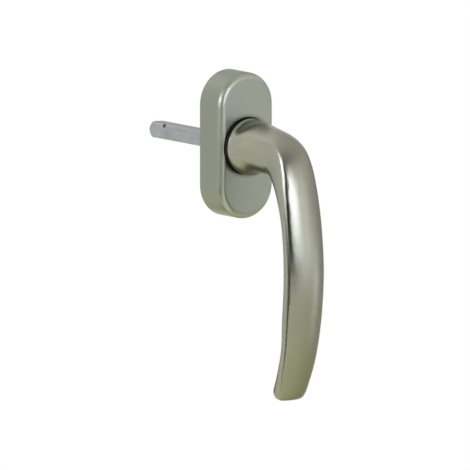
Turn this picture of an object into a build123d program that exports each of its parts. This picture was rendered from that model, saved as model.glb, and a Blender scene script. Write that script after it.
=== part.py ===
from build123d import *
from math import asin, cos, degrees, pi, sin, sqrt
import os

# Tilt and turn window handle. The origin is on the spindle's axis, in the plane of the window sash.
# +Z is up, +Y runs into the window and -Y into the room. Lengths are in millimetres.

# Rosette cover, a drawn cap with a stadium outline
rosette_width = 31.0
rosette_height = 68.0
rosette_depth = 16.0
cover_wall = 1.2
cover_front_radius = 3.0
cover_sash_gap = 0.2
cover_fit = 0.15
cover_hole_fit = 0.3

# Base plate and its two lugs
screw_spacing = 43.0
screw_hole_d = 5.3
screw_head_d = 9.6
screw_head_gap = 0.4
lug_d = 10.0
lug_length = 6.0
lug_chamfer = 0.6
plate_thickness = 5.0
detent_box_side_gap = 0.5
detent_box_corner = 2.0
detent_box_wall = 1.7
pocket_fit = 0.6
rear_recess_gap = 0.4

# Journal of the handle, stepped towards the sash
journal_d = 18.0
cam_seat_d = 16.0
cam_seat_flats = 14.2
tail_d = 14.0
tail_overhang = 0.6
tail_sash_gap = 0.4
running_fit = 0.05

# Plastic bearings
guide_plate_thickness = 2.2
guide_plate_gap = 1.1
guide_collar_step = 0.2
guide_collar_gap = 0.3
guide_peg_d = 2.0
guide_peg_length = 2.4
guide_peg_spacing = 10.0
peg_fit = 0.03
bush_wall = 1.3
bush_end_gap = 0.1
bush_flange_step = 1.5
bush_flange_thickness = 0.8

# Square detent cam and its two leaf springs
cam_width = 19.0
cam_thickness = 4.0
cam_end_gap = 0.25
cam_seat_fit = 0.02
spring_leaf = 0.5
leaf_round = 0.2
spring_leaf_width = 3.6
spring_end_wall = 1.1
spring_hold = 2.8
spring_fit = 0.04
slot_fit = 0.1

# Washers and circlip behind the web
thrust_washer_ring = 2.7
thrust_washer_thickness = 0.6
wave_washer_ring = 2.3
wave_washer_leaf = 0.3
wave_washer_height = 0.9
circlip_ring = 1.8
circlip_thickness = 1.0
circlip_groove_depth = 0.8
circlip_groove_fit = 0.05
circlip_gap = 5.0
circlip_ear_d = 3.2
circlip_ear_hole_d = 1.2

# Sprung spindle, pin and spring
spindle_width = 7.0
spindle_fit = 0.05
spindle_reach = 55.0
spindle_travel = 15.0
spindle_edge = 0.5
spindle_corner_cut = 0.25
spindle_tip_step = 0.4
spindle_tip_length = 2.2
spindle_end_wall = 3.0
notch_from_tip = 12.0
notch_width = 2.4
notch_depth = 1.0
pin_d = 2.5
pin_wall = 0.5
pin_slit = 0.6
pin_end_gap = 0.3
pin_fit = 0.02
pin_slot_fit = 0.1
spring_wire = 0.7
spring_turns = 8
spring_room = 21.0
spring_side_gap = 0.4
spring_seat_gap = 0.05

# Lever and neck
neck_d = 26.4
neck_stand_off = 2.0
neck_chamfer = 0.35
lever_length = 114.1
lever_reach = 64.5
lever_bow = 16.0
lever_width = 21.0
grip_thickness = 10.8
crown_radius = 20.0
front_share = 0.52
flank_depth_share = 1.9
flank_fullness = 2.2
edge_sharpness = 14.0
section_points = 72

# The neck and its bend: the share of the way out to the lever's reach, the share of the lever's length
# downwards, then half width, outer depth and inner depth as shares of the neck's radius, and how far the
# round section has turned into the edged one.
bend_shares = (
    (0.000, 0.000, 1.000, 1.000, 1.000, 0.00),
    (0.133, 0.001, 0.924, 0.924, 0.902, 0.00),
    (0.262, 0.001, 0.826, 0.864, 0.826, 0.05),
    (0.383, 0.008, 0.742, 0.848, 0.795, 0.20),
    (0.495, 0.018, 0.689, 0.826, 0.773, 0.50),
    (0.594, 0.044, 0.682, 0.780, 0.727, 0.85),
    (0.675, 0.089, 0.720, 0.667, 0.606, 1.00),
)

# The lever: the share of its length below the spindle, how far its front curves back to the sash as a share
# of the bow, then its width and its thickness, which dips and swells for the fingers.
lever_shares = (
    (0.156, 0.275, 0.960, 1.259),
    (0.245, 0.156, 0.990, 1.037),
    (0.350, 0.056, 1.000, 0.972),
    (0.463, 0.000, 1.000, 1.000),
    (0.577, 0.038, 1.000, 0.972),
    (0.682, 0.131, 0.990, 0.917),
    (0.787, 0.275, 0.940, 0.787),
    (0.883, 0.488, 0.880, 0.796),
    (0.950, 0.681, 0.800, 0.870),
    (0.978, 0.794, 0.740, 0.824),
    (0.994, 0.888, 0.620, 0.667),
    (1.000, 1.000, 0.400, 0.370),
)

# Depths from the sash, stacked up from it as far as the base plate's web
tail_end = tail_sash_gap
circlip_back = tail_end + tail_overhang
wave_back = circlip_back + circlip_thickness
thrust_back = wave_back + wave_washer_height
flange_back = thrust_back + thrust_washer_thickness
web_back = flange_back + bush_flange_thickness

# Depths from the sash, stacked down from the rosette's front
guide_plate_front = rosette_depth - cover_wall - guide_plate_gap
detent_box_front = guide_plate_front - guide_plate_thickness
cam_front = detent_box_front - cam_end_gap
cam_back = cam_front - cam_thickness
web_front = cam_back - cam_end_gap

# Depths from the sash on the handle and its spindle
neck_start = rosette_depth + neck_stand_off
collar_front = neck_start - guide_collar_gap
pin_depth = (cam_front + neck_start) / 2
slot_near = pin_depth + pin_d / 2 + pin_slot_fit
slot_far = pin_depth - spindle_travel - pin_d / 2 - pin_slot_fit
spindle_start = slot_near + spindle_end_wall
socket_end = spindle_start + spring_room

# Widths and diameters that follow from their neighbours
neck_radius = neck_d / 2
tail_bore = tail_d / 2 + running_fit
cover_inset = cover_wall + cover_fit
detent_box_width = rosette_width - 2 * (cover_wall + detent_box_side_gap)
detent_box_height = screw_spacing - screw_head_d - 2 * screw_head_gap
pocket_radius = detent_box_width / 2 - detent_box_wall
cam_corner_radius = pocket_radius - pocket_fit
leaf_inner = cam_width / 2 + spring_fit
leaf_outer = leaf_inner + spring_leaf
leaf_middle = (leaf_inner + leaf_outer) / 2
spring_length = detent_box_height - 2 * spring_end_wall
peg_places = GridLocations(guide_peg_spacing, pocket_radius + detent_box_height / 2, 2, 2)
bush_radius = tail_d / 2 + bush_wall
flange_radius = bush_radius + bush_flange_step
circlip_radius = tail_d / 2 + circlip_ring
groove_radius = tail_d / 2 - circlip_groove_depth
spindle_tip_radius = spindle_width / 2 - spindle_tip_step
spindle_corner_radius = spindle_width / sqrt(2) - spindle_corner_cut
coil_radius = spindle_width / 2 - spring_side_gap - spring_wire / 2

# This plane looks into the room, so an offset from it is a distance from the sash
room = Plane.XZ


def grip_section(half_width, outer, inner, edge):
    """Points of one section of the grip, each found along a ray from the spine. Where edge is 0 the section
    is an ellipse. Where it is 1 a crowned front meets fuller flanks at two crisp edges."""
    points = []
    for i in range(section_points):
        angle = 2 * pi * (i + 0.5) / section_points
        across, out = sin(angle), cos(angle)
        depth = outer if out > 0 else inner
        ellipse = 1 / sqrt((across / half_width) ** 2 + (out / depth) ** 2)
        # the flanks run on past the crown, so that the two cross
        flank_depth = outer * flank_depth_share if out > 0 else inner
        side = abs(across / half_width) ** flank_fullness
        end = abs(out / flank_depth) ** flank_fullness
        flank = (side + end) ** (-1 / flank_fullness)
        crown = crown_radius * (sqrt(out**2 + 2 * outer * across**2 / crown_radius) - out) / across**2
        edged = (flank**-edge_sharpness + crown**-edge_sharpness) ** (-1 / edge_sharpness)
        radius = (1 - edge) * ellipse + edge * edged
        points.append((radius * across, radius * out))
    return points


stations = []
for out, down, width, outer, inner, edge in bend_shares:
    stations.append(
        (
            neck_start + out * (lever_reach - neck_start),
            -down * lever_length,
            width * neck_radius,
            outer * neck_radius,
            inner * neck_radius,
            edge,
        )
    )
for down, back, width, thickness in lever_shares:
    outer = front_share * thickness * grip_thickness
    stations.append(
        (
            lever_reach - back * lever_bow - outer,
            -down * lever_length,
            width * lever_width / 2,
            outer,
            thickness * grip_thickness - outer,
            1.0,
        )
    )

# Rosette cover: a drawn shell, open to the sash, with the round hole for the neck
with BuildPart() as rosette_cover:
    with BuildSketch(room.offset(cover_sash_gap)):
        SlotOverall(rosette_height, rosette_width, rotation=90)
    extrude(amount=rosette_depth - cover_sash_gap)
    front_face = rosette_cover.faces().sort_by(Axis.Y)[0]
    fillet(front_face.edges(), cover_front_radius)
    offset(amount=-cover_wall, openings=rosette_cover.faces().sort_by(Axis.Y)[-1])
    with BuildSketch(room.offset(rosette_depth)):
        Circle(neck_radius + cover_hole_fit)
    extrude(amount=-cover_front_radius, mode=Mode.SUBTRACT)

# Base plate: die-cast, with the detent box on its front and two lugs that reach into the sash
with BuildPart() as base_plate:
    with BuildSketch(room):
        SlotOverall(rosette_height - 2 * cover_inset, rosette_width - 2 * cover_inset, rotation=90)
    extrude(amount=plate_thickness)
    with BuildSketch(room.offset(plate_thickness)):
        RectangleRounded(detent_box_width, detent_box_height, detent_box_corner)
    extrude(amount=detent_box_front - plate_thickness)
    with BuildSketch(room):
        with Locations((0, screw_spacing / 2), (0, -screw_spacing / 2)):
            Circle(lug_d / 2)
    extrude(amount=-lug_length)
    lug_rims = base_plate.faces().sort_by(Axis.Y)[-2:].edges()
    chamfer(lug_rims, lug_chamfer)
    # pocket of the cam, with room for the springs to bow out and slots for their ends
    slot_inner = leaf_inner - slot_fit
    with BuildSketch(room.offset(web_front)):
        Circle(pocket_radius)
        for side in (-1, 1):
            with Locations((side * (slot_inner + pocket_radius) / 2, 0)):
                Rectangle(pocket_radius - slot_inner, spring_length - 2 * spring_hold)
            with Locations((side * leaf_middle, 0)):
                Rectangle(spring_leaf + 2 * slot_fit, spring_length + 2 * slot_fit)
    extrude(amount=detent_box_front - web_front, mode=Mode.SUBTRACT)
    # seat of the bush, and the recess for the washers and the circlip
    with BuildSketch(room):
        Circle(bush_radius + peg_fit)
    extrude(amount=web_front, mode=Mode.SUBTRACT)
    with BuildSketch(room):
        Circle(flange_radius + rear_recess_gap)
    extrude(amount=web_back, mode=Mode.SUBTRACT)
    with BuildSketch(room.offset(detent_box_front)):
        with peg_places:
            Circle(guide_peg_d / 2 + peg_fit)
    extrude(amount=-guide_peg_length - slot_fit, mode=Mode.SUBTRACT)
    with Locations(room.offset(plate_thickness)):
        with Locations((0, screw_spacing / 2), (0, -screw_spacing / 2)):
            CounterSinkHole(screw_hole_d / 2, screw_head_d / 2, plate_thickness + lug_length)

# Guide plate: black plastic, closes the detent box and carries the neck's journal in its collar
with BuildPart() as guide_plate:
    with BuildSketch(room.offset(detent_box_front)):
        RectangleRounded(detent_box_width, detent_box_height, detent_box_corner)
    extrude(amount=guide_plate_thickness)
    with BuildSketch(room.offset(guide_plate_front)):
        Circle(neck_radius - guide_collar_step)
    extrude(amount=collar_front - guide_plate_front)
    with BuildSketch(room.offset(detent_box_front)):
        with peg_places:
            Circle(guide_peg_d / 2)
    extrude(amount=-guide_peg_length)
    with BuildSketch(room.offset(detent_box_front)):
        Circle(journal_d / 2 + running_fit)
    extrude(amount=collar_front - detent_box_front, mode=Mode.SUBTRACT)

# Rear bush: plastic sleeve and flange for the thin end of the journal
with BuildPart() as rear_bush:
    with BuildSketch(room.offset(flange_back)):
        Circle(flange_radius)
    extrude(amount=bush_flange_thickness)
    with BuildSketch(room.offset(web_back)):
        Circle(bush_radius)
    extrude(amount=web_front - web_back - bush_end_gap)
    with BuildSketch(room.offset(flange_back)):
        Circle(tail_bore)
    extrude(amount=web_front - flange_back, mode=Mode.SUBTRACT)

# Detent cam: square steel plate with rounded corners on the journal's two flats
with BuildPart() as detent_cam:
    with BuildSketch(room.offset(cam_back)):
        Rectangle(cam_width, cam_width)
        Circle(cam_corner_radius, mode=Mode.INTERSECT)
    extrude(amount=cam_thickness)
    with BuildSketch(room.offset(cam_back)):
        Circle(cam_seat_d / 2 + cam_seat_fit)
        Rectangle(cam_width, cam_seat_flats + 2 * cam_seat_fit, mode=Mode.INTERSECT)
    extrude(amount=cam_thickness, mode=Mode.SUBTRACT)

# Thrust washer on the bush's flange
with BuildPart() as thrust_washer:
    with BuildSketch(room.offset(thrust_back)):
        Circle(tail_d / 2 + thrust_washer_ring)
        Circle(tail_bore, mode=Mode.SUBTRACT)
    extrude(amount=thrust_washer_thickness)

# Wave washer: a ring of spring steel bowed about the vertical
with BuildPart() as wave_washer:
    bow = wave_washer_height - wave_washer_leaf
    half = tail_d / 2 + wave_washer_ring
    with BuildSketch(Plane.XY):
        with BuildLine():
            near = ThreePointArc((-half, -wave_back), (0, -wave_back - bow), (half, -wave_back))
            leaf = (0, -wave_washer_leaf)
            far = ThreePointArc(near @ 0 + leaf, near @ 0.5 + leaf, near @ 1 + leaf)
            Line(near @ 0, far @ 0)
            Line(near @ 1, far @ 1)
        make_face()
    extrude(amount=half, both=True)
    with BuildSketch(room.offset(wave_back)):
        Circle(half)
        Circle(tail_bore, mode=Mode.SUBTRACT)
    extrude(amount=wave_washer_height, mode=Mode.INTERSECT)

# Circlip in the journal's groove, open at the bottom, with two eared ends
with BuildPart() as circlip:
    ear_radius = circlip_radius - circlip_ear_d / 6
    ear_turn = degrees(asin((circlip_gap + circlip_ear_d) / 2 / ear_radius))
    ears = PolarLocations(ear_radius, 2, -90 - ear_turn, 2 * ear_turn, endpoint=True)
    with BuildSketch(room.offset(circlip_back)):
        Circle(circlip_radius)
        with ears:
            Circle(circlip_ear_d / 2)
        Circle(groove_radius + circlip_groove_fit, mode=Mode.SUBTRACT)
        with Locations((0, -circlip_radius)):
            Rectangle(circlip_gap, circlip_radius, mode=Mode.SUBTRACT)
        with ears:
            Circle(circlip_ear_hole_d / 2, mode=Mode.SUBTRACT)
    extrude(amount=circlip_thickness)

# Spindle: square bar with a turned tip, a long slot for the stop pin and a notch across one edge
with BuildPart() as spindle:
    with BuildSketch(room.offset(-spindle_reach)):
        Rectangle(spindle_width, spindle_width)
    extrude(amount=spindle_reach + spindle_start)
    with BuildSketch(Plane.XY):
        with BuildLine():
            Polyline(
                (0, -spindle_start),
                (spindle_corner_radius - spindle_edge, -spindle_start),
                (spindle_corner_radius, -spindle_start + spindle_edge),
                (spindle_corner_radius, spindle_reach - spindle_tip_length),
                (spindle_tip_radius, spindle_reach),
                (0, spindle_reach),
                close=True,
            )
        make_face()
    revolve(axis=Axis.Y, mode=Mode.INTERSECT)
    with BuildSketch(Plane.YZ):
        with Locations((-(slot_near + slot_far) / 2, 0)):
            SlotOverall(slot_near - slot_far, pin_d + 2 * pin_slot_fit)
    extrude(amount=spindle_width, both=True, mode=Mode.SUBTRACT)
    notch_y = spindle_reach - notch_from_tip
    across_edge = Plane(origin=(0, notch_y, 0), x_dir=(0, 1, 0), z_dir=(-1, 0, 1))
    with BuildSketch(across_edge.offset(spindle_corner_radius - notch_depth)):
        Rectangle(notch_width, spindle_width)
    extrude(amount=spindle_width, mode=Mode.SUBTRACT)

# Stop pin: slotted spring pin across the journal
with BuildPart() as stop_pin:
    with BuildSketch(Plane.YZ.offset(pin_end_gap - journal_d / 2)):
        with Locations((-pin_depth, 0)):
            Circle(pin_d / 2)
            Circle(pin_d / 2 - pin_wall, mode=Mode.SUBTRACT)
        with Locations((-pin_depth - pin_d / 2, 0)):
            Rectangle(pin_d, pin_slit, mode=Mode.SUBTRACT)
    extrude(amount=journal_d - 2 * pin_end_gap)

# Spindle spring: round wire coiled behind the spindle in the square socket
with BuildPart() as spindle_spring:
    coil_start = spindle_start + spring_seat_gap + spring_wire / 2
    coil_end = socket_end - spring_seat_gap - spring_wire / 2
    with BuildLine() as coil:
        Helix(
            (coil_end - coil_start) / spring_turns,
            coil_end - coil_start,
            coil_radius,
            center=(0, -coil_start, 0),
            direction=(0, -1, 0),
        )
    with BuildSketch(Plane(origin=coil.line @ 0, z_dir=coil.line % 0)):
        Circle(spring_wire / 2)
    sweep()

# Handle: one casting of lever, neck and journal
with BuildPart() as handle:
    turns = [i / section_points for i in range(section_points + 1)]
    centres = [Vector(0, -depth, height) for depth, height, *_ in stations]
    for i, (_, _, half_width, outer, inner, edge) in enumerate(stations):
        before = centres[max(i - 1, 0)]
        after = centres[min(i + 1, len(centres) - 1)]
        along = Vector(0, -1, 0) if i == 0 else (after - before).normalized()
        with BuildSketch(Plane(origin=centres[i], x_dir=(1, 0, 0), z_dir=along)):
            with BuildLine():
                outline = grip_section(half_width, outer, inner, edge)
                add(Edge.make_spline(outline, periodic=True, parameters=turns))
            make_face()
    loft()
    chamfer(handle.faces().sort_by(Axis.Y)[-1].edges(), neck_chamfer)
    with BuildSketch(room.offset(cam_front)):
        Circle(journal_d / 2)
    extrude(amount=neck_start - cam_front)
    with BuildSketch(room.offset(cam_back)):
        Circle(cam_seat_d / 2)
        Rectangle(cam_seat_d, cam_seat_flats, mode=Mode.INTERSECT)
    extrude(amount=cam_thickness)
    with BuildSketch(room.offset(tail_end)):
        Circle(tail_d / 2)
    extrude(amount=cam_back - tail_end)
    with BuildSketch(room.offset(circlip_back - circlip_groove_fit)):
        Circle(tail_d / 2)
        Circle(groove_radius, mode=Mode.SUBTRACT)
    extrude(amount=circlip_thickness + 2 * circlip_groove_fit, mode=Mode.SUBTRACT)
    with BuildSketch(room.offset(tail_end)):
        Rectangle(spindle_width + 2 * spindle_fit, spindle_width + 2 * spindle_fit)
    extrude(amount=socket_end - tail_end, mode=Mode.SUBTRACT)
    with BuildSketch(Plane.YZ):
        with Locations((-pin_depth, 0)):
            Circle(pin_d / 2 + pin_fit)
    extrude(amount=journal_d / 2, both=True, mode=Mode.SUBTRACT)

# Detent springs: flat leaves that lie on two sides of the cam
with BuildPart() as detent_spring_left:
    with BuildSketch(room.offset(cam_back)):
        with Locations((-leaf_middle, 0)):
            RectangleRounded(spring_leaf, spring_length, leaf_round)
    extrude(amount=spring_leaf_width)

with BuildPart() as detent_spring_right:
    mirror(detent_spring_left.part, about=Plane.YZ)

pieces = {
    "handle": handle,
    "rosette_cover": rosette_cover,
    "base_plate": base_plate,
    "guide_plate": guide_plate,
    "rear_bush": rear_bush,
    "detent_cam": detent_cam,
    "detent_spring_left": detent_spring_left,
    "detent_spring_right": detent_spring_right,
    "thrust_washer": thrust_washer,
    "wave_washer": wave_washer,
    "circlip": circlip,
    "spindle": spindle,
    "stop_pin": stop_pin,
    "spindle_spring": spindle_spring,
}
os.makedirs("parts", exist_ok=True)
for name, piece in pieces.items():
    piece.part.label = name
    export_step(piece.part, f"parts/{name}.step")
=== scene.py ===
from math import cos, pi, radians, sin

import bpy
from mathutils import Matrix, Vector

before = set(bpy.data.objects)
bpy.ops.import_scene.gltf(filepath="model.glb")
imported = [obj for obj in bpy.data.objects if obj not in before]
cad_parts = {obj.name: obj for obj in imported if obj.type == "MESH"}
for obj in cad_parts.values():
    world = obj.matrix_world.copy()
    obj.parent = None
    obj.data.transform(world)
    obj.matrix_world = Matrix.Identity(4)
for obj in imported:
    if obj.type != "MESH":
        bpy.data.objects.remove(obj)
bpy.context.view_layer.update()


# Handle: lever, neck and journal in one aluminium casting.
# The casting is ground, blasted to a fine even grain and anodised in a steel tone with a touch of olive.
# The journal behind the neck is turned and keeps the same skin.
class Wire:
    """A shader socket that takes part in plain arithmetic. Each operation adds its node."""

    def __init__(self, tree, socket=None):
        self.tree = tree
        self.socket = socket

    def feed(self, node, sockets):
        """Joins wires to a node's sockets, and sets plain values on the sockets themselves."""
        for name, value in sockets.items():
            if isinstance(value, Wire):
                self.tree.links.new(value.socket, node.inputs[name])
            else:
                node.inputs[name].default_value = value

    def node(self, kind, settings, sockets, output=0):
        """Adds any node: its settings first, then the values or wires of its sockets."""
        made = self.tree.nodes.new("ShaderNode" + kind)
        for name, value in settings.items():
            setattr(made, name, value)
        self.feed(made, sockets)
        return Wire(self.tree, made.outputs[output])

    def maths(self, operation, first, second):
        return self.node("Math", {"operation": operation}, {0: first, 1: second})

    def __add__(self, other):
        return self.maths("ADD", self, other)

    def __radd__(self, other):
        return self.maths("ADD", other, self)

    def __sub__(self, other):
        return self.maths("SUBTRACT", self, other)

    def __rsub__(self, other):
        return self.maths("SUBTRACT", other, self)

    def __mul__(self, other):
        return self.maths("MULTIPLY", self, other)

    def __rmul__(self, other):
        return self.maths("MULTIPLY", other, self)

    def squared(self):
        return self * self

    def above_zero(self):
        return self.maths("MAXIMUM", self, 0.0)

    def clamped(self):
        """The value, held between 0 and 1."""
        return self.node("Clamp", {}, {"Value": self})

    def vector(self, operation, sockets, output=0):
        """Vector maths on this wire. The sockets are those after the first one."""
        return self.node("VectorMath", {"operation": operation}, {0: self, **sockets}, output)

    def part(self, axis):
        """One number of a vector: X, Y or Z."""
        return self.node("SeparateXYZ", {}, {"Vector": self}, axis)

    def coordinates(self, kind):
        return self.node("TexCoord", {}, {}, kind)

    def noise(self, per_metre, detail=2.0, stretch=(1.0, 1.0, 1.0)):
        """Noise on object coordinates, drawn out along an axis where stretch is less than 1."""
        place = self.node("Mapping", {}, {"Vector": self.coordinates("Object"), "Scale": stretch})
        return self.node("TexNoise", {}, {"Vector": place, "Scale": per_metre, "Detail": detail}, "Fac")

    def seen(self):
        """1 for camera, glossy and transmission rays, and 0 for others."""
        kinds = ("Camera", "Glossy", "Transmission")
        rays = [self.node("LightPath", {}, {}, f"Is {kind} Ray") for kind in kinds]
        return self.maths("MINIMUM", rays[0] + rays[1] + rays[2], 1.0)

    def between(self, share, first, second):
        """A colour between two, by a share from 0 to 1. Mix takes its colours at sockets 6 and 7."""
        ends = [end if isinstance(end, Wire) else (*end, 1.0) for end in (first, second)]
        return self.node("Mix", {"data_type": "RGBA"}, {0: share, 6: ends[0], 7: ends[1]}, 2)

    def bump(self, strength, distance, height):
        return self.node("Bump", {}, {"Strength": strength, "Distance": distance, "Height": height})


def new_material(name):
    """An empty material with its shader and the wire that its nodes are built from."""
    material = bpy.data.materials.new(name)
    material.use_nodes = True
    shader = material.node_tree.nodes["Principled BSDF"]
    return material, shader, Wire(material.node_tree)


def satin_aluminium(name, dark, light, roughness, grain_strength, painted_highlight_share=0.0, shade_radius=0.0):
    """Blasted and anodised aluminium: a cloudy tone, a fine grain and a satin gloss.

    A painted highlight lightens the roundings between the front and the sides, by the given edge highlight
    share at most.
    Painted shade darkens what lies within the given radius of the turning axis, for the shade in the joint
    round the neck."""
    cloud_share = 0.6
    grain_dulling = 0.06
    cloud_dulling = 0.03
    grain_height = 0.0004
    highlight_peak = 4.0 / 27.0
    shade_edge = 0.002
    shade_darkening = 0.5
    material, shader, wire = new_material(name)
    cloud = wire.noise(per_metre=55.0, detail=3.0)
    grain = wire.noise(per_metre=2400.0, detail=1.0)
    tone = wire.between(cloud * cloud_share + grain * (1.0 - cloud_share), dark, light)
    # Painted highlight: roundings whose normal lies between front and side get a lighter base colour,
    # standing in for a reflection there.
    facing = wire.coordinates("Normal").part("Y").squared()
    painted_edge_highlight = facing.squared() * (1.0 - facing) * (painted_highlight_share / highlight_peak)
    # Painted shade: the base colour is darker close to the turning axis, round the joint where the neck
    # shades the face.
    flattened = wire.coordinates("Object").vector("MULTIPLY", {1: (1.0, 0.0, 1.0)})
    from_axis = flattened.vector("LENGTH", {}, "Value")
    painted_joint_shade = ((shade_radius - from_axis) * (1.0 / shade_edge)).clamped() * shade_darkening
    wire.feed(shader, {
        "Base Color": tone.vector("SCALE", {"Scale": 1.0 + painted_edge_highlight - painted_joint_shade}),
        "Roughness": roughness + grain * grain_dulling + cloud * cloud_dulling,
        "Normal": wire.bump(grain_strength, grain_height, grain),
        "Metallic": 1.0,
        "Coat Weight": 0.4,
        "Coat Roughness": 0.22,
    })
    return material


def dress(node, material):
    """Gives a node its finish in every material slot."""
    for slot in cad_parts[node].material_slots:
        slot.material = material


handle_dark = (0.289, 0.294, 0.237)
handle_light = (0.359, 0.365, 0.296)
satin_handle = satin_aluminium(
    "satin_handle", handle_dark, handle_light,
    roughness=0.12, grain_strength=0.20,
)
dress("handle", satin_handle)


# Rosette cover: drawn aluminium cap over the base plate.
# Pressed from sheet, blasted and anodised with the handle. It comes out a shade cooler and duller than the
# handle, because it isn't ground first.
cover_dark = (0.260, 0.275, 0.230)
cover_light = (0.313, 0.332, 0.275)
# The cover gets a painted highlight on its roundings and painted shade round the joint at the neck.
satin_cover = satin_aluminium(
    "satin_cover", cover_dark, cover_light,
    roughness=0.32, grain_strength=0.13, painted_highlight_share=0.8, shade_radius=0.0153,
)
dress("rosette_cover", satin_cover)


# Guide plate and rear bush: the two plastic bearings.
# Both are moulded in black plastic, with a fine spark-eroded skin that turns the light soft.
def moulded_plastic(name, dark, light):
    roughness = 0.5
    skin_dulling = 0.2
    skin_strength = 0.4
    skin_height = 0.0002
    material, shader, wire = new_material(name)
    skin = wire.noise(per_metre=1800.0)
    cloud = wire.noise(per_metre=120.0)
    wire.feed(shader, {
        "Base Color": wire.between(cloud, dark, light),
        "Roughness": roughness + skin * skin_dulling,
        "Normal": wire.bump(skin_strength, skin_height, skin),
        "Specular IOR Level": 0.2,
    })
    return material


plate_plastic = moulded_plastic("bearing_plastic", dark=(0.010, 0.010, 0.010), light=(0.022, 0.022, 0.021))
bush_plastic = moulded_plastic("bush_plastic", dark=(0.016, 0.016, 0.017), light=(0.030, 0.030, 0.031))
dress("guide_plate", plate_plastic)
dress("rear_bush", bush_plastic)


# Base plate: zinc die casting with two lugs.
# Left as cast: dull grey with flow marks, a slightly brighter skin where the tool was polished.
def cast_zinc(name, dark, light):
    flow_share = 0.7
    flow_height = 0.5
    roughness = 0.45
    flow_dulling = 0.2
    along_the_flow = (1.0, 1.0, 0.35)
    skin_strength = 0.35
    skin_height = 0.0002
    material, shader, wire = new_material(name)
    flow = wire.noise(per_metre=90.0, detail=5.0, stretch=along_the_flow)
    pores = wire.noise(per_metre=1400.0, detail=3.0)
    wire.feed(shader, {
        "Base Color": wire.between(flow * flow_share + pores * (1.0 - flow_share), dark, light),
        "Roughness": roughness + flow * flow_dulling,
        "Normal": wire.bump(skin_strength, skin_height, pores + flow * flow_height),
        "Metallic": 0.85,
    })
    return material


dress("base_plate", cast_zinc("die_cast", dark=(0.26, 0.26, 0.25), light=(0.42, 0.42, 0.40)))


# Spindle: drawn square steel bar, zinc plated.
# Drawing lines run along the bar and show through the bright plating.
def lined_steel(name, dark, light, stretch, roughness):
    """Steel with fine lines along the axis in which stretch is small."""
    line_share = 0.5
    line_dulling = 0.14
    line_strength = 0.2
    line_height = 0.0001
    material, shader, wire = new_material(name)
    lines = wire.noise(per_metre=2200.0, detail=3.0, stretch=stretch)
    cloud = wire.noise(per_metre=140.0)
    wire.feed(shader, {
        "Base Color": wire.between(lines * line_share + cloud * (1.0 - line_share), dark, light),
        "Roughness": roughness + lines * line_dulling,
        "Normal": wire.bump(line_strength, line_height, lines),
        "Metallic": 1.0,
    })
    return material


plating_dark = (0.20, 0.22, 0.23)
plating_light = (0.57, 0.62, 0.63)
along_the_bar = (1.0, 0.06, 1.0)
plated = lined_steel("zinc_plated", plating_dark, plating_light, along_the_bar, roughness=0.24)
dress("spindle", plated)


# Detent cam and thrust washer: ground steel.
# Punched from strip and ground flat, with lines across the faces.
ground_dark = (0.34, 0.34, 0.35)
ground_light = (0.56, 0.56, 0.57)
across_the_face = (0.03, 1.0, 1.0)
ground = lined_steel("steel", ground_dark, ground_light, across_the_face, roughness=0.24)
dress("detent_cam", ground)
dress("thrust_washer", ground)


# Springs, wave washer, circlip and stop pin: tempered spring steel.
# Tempering leaves a darker, slightly blue-grey skin.
tempered_dark = (0.16, 0.17, 0.19)
tempered_light = (0.34, 0.35, 0.38)
along_the_strip = (1.0, 0.1, 0.1)
tempered = lined_steel("spring_steel", tempered_dark, tempered_light, along_the_strip, roughness=0.28)
tempered_pieces = (
    "detent_spring_left", "detent_spring_right", "wave_washer", "circlip", "stop_pin", "spindle_spring",
)
for piece in tempered_pieces:
    dress(piece, tempered)


# Floor of the studio: a round pale table top well below the handle.
# It is straw in the middle and on the right, and paler outwards. What the metal mirrors of it is lit
# evenly, so that the handle's own shadow doesn't blacken it, and is dimmer on the right.
floor_radius = 1.5
floor_depth = 0.40
straw = (0.87, 0.87, 0.53)
pale = (0.97, 0.97, 0.87)
straw_on_the_right = 0.3
patchiness = 0.1
glow_level = 0.95
dimmer_rightwards = 0.12
dimmer_far_right = 0.25
evenly_lit = 0.85

floor_material, floor_shader, floor_wire = new_material("pale_floor")
place = floor_wire.coordinates("Object")
outwards = place.vector("LENGTH", {}, "Value")
rightwards = place.vector("NORMALIZE", {}).part("X")
patches = (floor_wire.noise(per_metre=3.0) - 0.5) * patchiness
paleness = (outwards - rightwards * straw_on_the_right + patches).clamped()
floor_tone = floor_wire.between(paleness, straw, pale)
floor_wire.feed(floor_shader, {"Base Color": floor_tone, "Roughness": 0.8})
right_side = rightwards.above_zero()
far_right = right_side * right_side.squared()
glow = glow_level - rightwards * dimmer_rightwards - far_right * dimmer_far_right
even_light = floor_wire.node("Emission", {}, {"Color": floor_tone, "Strength": glow})
lit_floor = Wire(floor_material.node_tree, floor_shader.outputs["BSDF"])
mirrored_share = floor_wire.seen() * evenly_lit
floor_surface = floor_wire.node("MixShader", {}, {0: mirrored_share, 1: lit_floor, 2: even_light})
floor_wire.feed(floor_material.node_tree.nodes["Material Output"], {"Surface": floor_surface})

bpy.ops.object.select_all(action="DESELECT")
bpy.ops.mesh.primitive_circle_add(
    vertices=96, radius=floor_radius, fill_type="NGON", location=(0.0, 0.0, -floor_depth)
)
floor = bpy.context.object
floor.name = "floor"
floor.data.materials.append(floor_material)


# Cards of the studio: matt board on stands, near black to mid grey, hidden from the camera.
# Each keeps light off one side, and the metal mirrors it as a dark line by a highlight or along an edge.
def towards(azimuth, elevation):
    """The direction in which something stands, in degrees: azimuth 0 in front, 90 to the right."""
    turn = radians(azimuth)
    lift = radians(elevation)
    return Vector((sin(turn) * cos(lift), -cos(turn) * cos(lift), sin(lift)))


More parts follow.
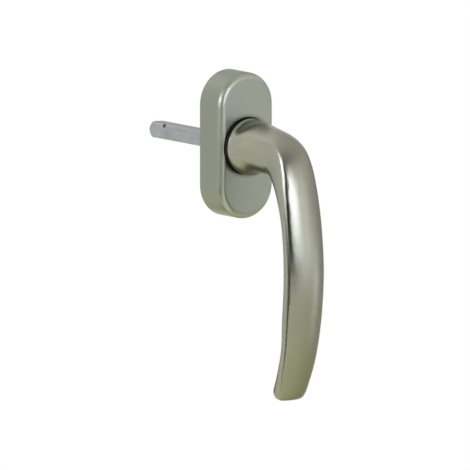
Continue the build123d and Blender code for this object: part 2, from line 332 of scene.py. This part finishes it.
def card(name, corners, distance, grey, centre=(0.0, 0.0, 0.0)):
    """A card that faces the centre. Its corners are azimuths and elevations as seen from there."""
    unevenness = 0.1
    dark = (grey * (1.0 - unevenness),) * 3
    light = (grey * (1.0 + unevenness),) * 3
    material, shader, wire = new_material(name)
    tone = wire.between(wire.noise(per_metre=6.0), dark, light)
    wire.feed(shader, {"Base Color": tone, "Roughness": 0.9})
    mesh = bpy.data.meshes.new(name)
    places = [Vector(centre) + towards(*corner) * distance for corner in corners]
    mesh.from_pydata(places, [], [range(len(corners))])
    mesh.materials.append(material)
    made = bpy.data.objects.new(name, mesh)
    made.visible_camera = False
    bpy.context.scene.collection.objects.link(made)


front_corners = (
    (-63.0, 30.0), (-34.0, 27.0), (-18.0, 8.0), (-9.0, 3.0), (0.0, -2.0), (2.0, -9.0), (-56.0, -9.0),
)
low_corners = ((-112.0, 3.0), (-55.0, 3.0), (-55.0, -20.0), (-82.0, -20.0), (-112.0, -13.0))
crease_corners = ((-88.0, -19.0), (-50.0, -19.0), (-58.0, -49.0), (-80.0, -49.0))
under_corners = ((-180.0, -50.0), (-140.0, -50.0), (-140.0, -64.0), (-180.0, -64.0))
mid_lever = (-0.01, -0.06, -0.05)
card("front_card", front_corners, distance=1.1, grey=0.06)
card("low_card", low_corners, distance=0.30, grey=0.2, centre=mid_lever)
card("crease_card", crease_corners, distance=0.30, grey=0.5, centre=mid_lever)
card("under_card", under_corners, distance=0.16, grey=0.15)


# Room round the studio: pale walls and a greyer ceiling, and white where the camera looks at it.
# The walls are lighter at the left, and dimmer at the right and behind. The ceiling is dimmer at the right
# and in front, and lightest at the back left. Matt surfaces get less of this light than the metal mirrors.
room_tint = (1.0, 1.0, 0.96)
white = (1.0, 1.0, 1.0)
wall_tone = 0.94
lighter_left = 0.08
dimmer_right = 0.45
dimmer_behind = 0.5
back_wall_from = 0.74
back_wall_blend = 2.5
dimmer_corner = 0.6
ceiling_tone = 0.74
ceiling_dimmer_right = 0.2
ceiling_lighter_behind = 0.45
ceiling_lighter_back_left = 0.5
ceiling_from = 0.40
ceiling_blend = 4.5
matt_light = 0.6

world = bpy.data.worlds.new("studio")
bpy.context.scene.world = world
world.use_nodes = True
rays = Wire(world.node_tree)
direction = rays.coordinates("Generated")
across = direction.part("X")
behind = direction.part("Y")
height = direction.part("Z")
right_half = across.above_zero()
left_half = (0.0 - across).above_zero()
right_cubed = right_half * right_half.squared()
back_corner = right_half * behind.above_zero() * dimmer_corner
back_wall = ((behind - back_wall_from) * back_wall_blend).clamped()
lighter_walls = wall_tone + left_half.squared().squared() * lighter_left
walls = lighter_walls - right_cubed.squared() * dimmer_right - back_wall * dimmer_behind - back_corner
plain_ceiling = ceiling_tone - right_cubed * ceiling_dimmer_right - back_corner
ceiling = plain_ceiling + behind * ceiling_lighter_behind - across * behind * ceiling_lighter_back_left
overhead = ((height - ceiling_from) * ceiling_blend).clamped()
room_tone = walls + (ceiling - walls) * overhead
room = rays.node("VectorMath", {"operation": "SCALE"}, {0: room_tint, "Scale": room_tone})
camera_ray = rays.node("LightPath", {}, {}, "Is Camera Ray")
rays.feed(world.node_tree.nodes["Background"], {
    "Color": rays.between(camera_ray, room, white),
    "Strength": rays.seen() * (1.0 - matt_light) + matt_light,
})


# Softboxes and fills of the studio: area lamps behind cool white cloth.
# The two softboxes draw the long highlights on the lever and the cover's edge. The fills soften their ends.
def softbox(name, azimuth, elevation, distance, width, height, glow):
    """An area lamp that faces the handle, as bright as glow times white paper."""
    cool_white = (0.93, 0.95, 1.16)
    out = towards(azimuth, elevation)
    data = bpy.data.lights.new(name, "AREA")
    data.shape = "RECTANGLE"
    data.size = width
    data.size_y = height
    data.energy = glow * pi * width * height
    data.color = cool_white
    lamp = bpy.data.objects.new(name, data)
    lamp.location = out * distance
    lamp.rotation_mode = "QUATERNION"
    lamp.rotation_quaternion = out.to_track_quat("Z", "Y")
    lamp.visible_camera = False
    bpy.context.scene.collection.objects.link(lamp)


softbox("front_softbox", azimuth=-2.5, elevation=11.0, distance=1.0, width=0.40, height=0.32, glow=3.4)
softbox("front_fill", azimuth=24.0, elevation=3.5, distance=1.05, width=0.66, height=0.52, glow=0.48)
softbox("right_fill", azimuth=54.0, elevation=-13.5, distance=1.0, width=0.18, height=0.36, glow=0.75)
softbox("left_softbox", azimuth=-85.0, elevation=17.5, distance=1.0, width=0.62, height=0.33, glow=4.0)


# Camera: a long lens, so that the picture is as good as parallel.
# It looks at the handle from the left and a little above.
view_azimuth = -36.9
view_elevation = 8.2
view_width = 0.2166
view_right = 0.00387
view_down = 0.0429
view_distance = 0.9

back = towards(view_azimuth, view_elevation)
level = Vector((cos(radians(view_azimuth)), sin(radians(view_azimuth)), 0.0))
camera_data = bpy.data.cameras.new("camera")
camera_data.type = "ORTHO"
camera_data.ortho_scale = view_width
camera = bpy.data.objects.new("camera", camera_data)
camera.location = level * view_right - back.cross(level) * view_down + back * view_distance
camera.rotation_mode = "QUATERNION"
camera.rotation_quaternion = (-back).to_track_quat("-Z", "Y")
bpy.context.scene.collection.objects.link(camera)
bpy.context.scene.camera = camera

bpy.context.scene.view_settings.view_transform = "Standard"
